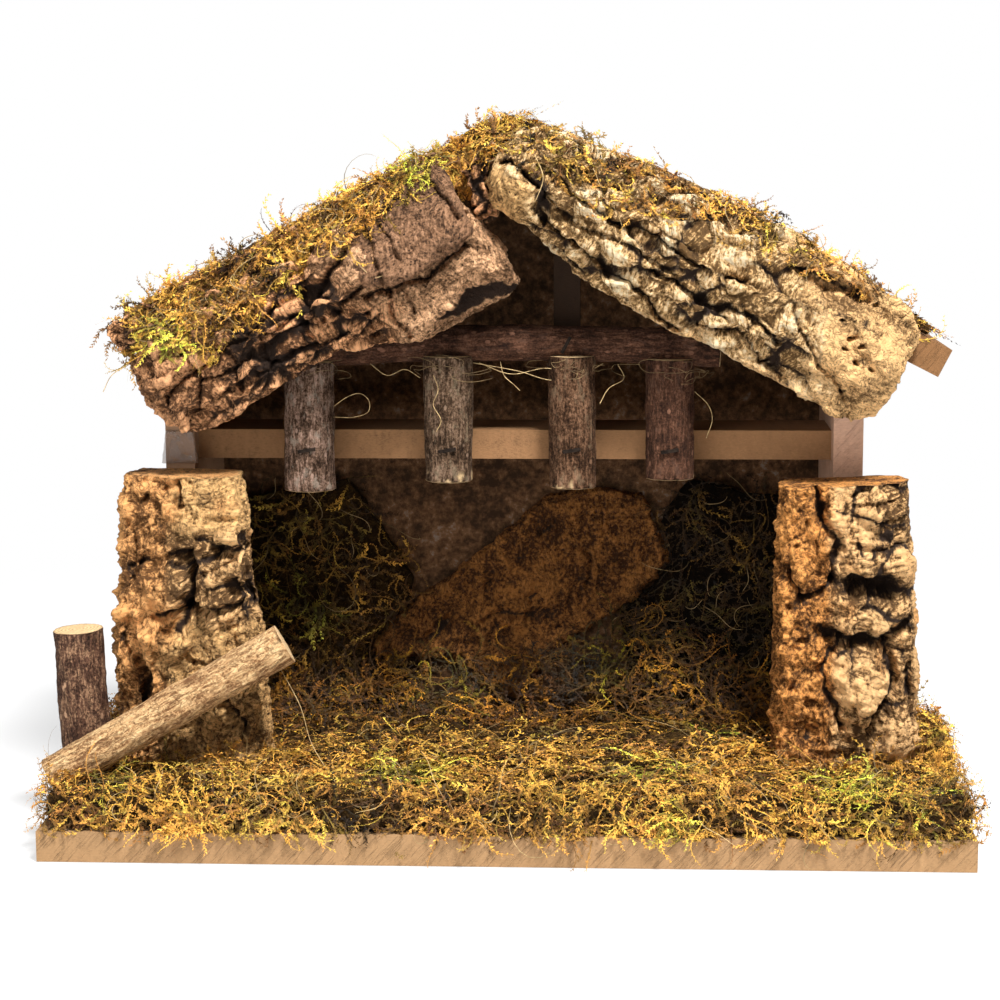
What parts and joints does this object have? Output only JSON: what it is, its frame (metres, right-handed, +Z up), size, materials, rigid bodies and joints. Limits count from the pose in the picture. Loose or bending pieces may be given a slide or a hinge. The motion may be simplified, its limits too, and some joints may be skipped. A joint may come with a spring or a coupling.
{
  "type": "nativity stable",
  "caption": "Rustic open-fronted model stable of fibreboard on a base board, dressed with cork bark, branch wood and dried moss, that shelters small figures.",
  "frame": {"origin": "middle of the base board's underside", "axes": "+X along the base board to the viewer's right, +Y from the open front to the back panel, +Z up"},
  "size_m": [0.3031, 0.142, 0.2362],
  "materials": {
    "fibreboard": "raw sawn fibreboard",
    "panel_board": "dark mottled board",
    "branch_wood": "bark-covered branch, sawn ends",
    "cork_bark": "rough cork bark",
    "moss": "dried fibrous moss",
    "steel_wire": "galvanised wire",
    "hot_glue": "clear glossy glue"
  },
  "bodies": {
    "root": {"base_board": "fibreboard", "left_wall": "fibreboard", "right_wall": "fibreboard", "cross_rail": "fibreboard", "king_post": "fibreboard", "left_roof_board": "fibreboard", "right_roof_board": "fibreboard", "back_panel": "panel_board", "lintel_branch": "branch_wood", "hanging_stub_1": "branch_wood", "hanging_stub_2": "branch_wood", "hanging_stub_3": "branch_wood", "hanging_stub_4": "branch_wood", "standing_stump": "branch_wood", "leaning_log": "branch_wood", "left_bark_fascia": "cork_bark", "left_bark_shell": "cork_bark", "right_bark_fascia": "cork_bark", "ridge_bark_chip": "cork_bark", "left_eave_chip": "cork_bark", "left_bark_pillar": "cork_bark", "right_bark_pillar": "cork_bark", "back_bark_slab": "cork_bark", "ground_moss": "moss", "left_wall_moss": "moss", "right_wall_moss": "moss", "left_roof_moss": "moss", "right_roof_moss": "moss", "lintel_staples": "steel_wire", "panel_staples": "steel_wire", "base_brads": "steel_wire", "roof_brads": "steel_wire", "rail_brads": "steel_wire", "wall_glue": "hot_glue", "log_glue": "hot_glue"}
  },
  "joints": []
}
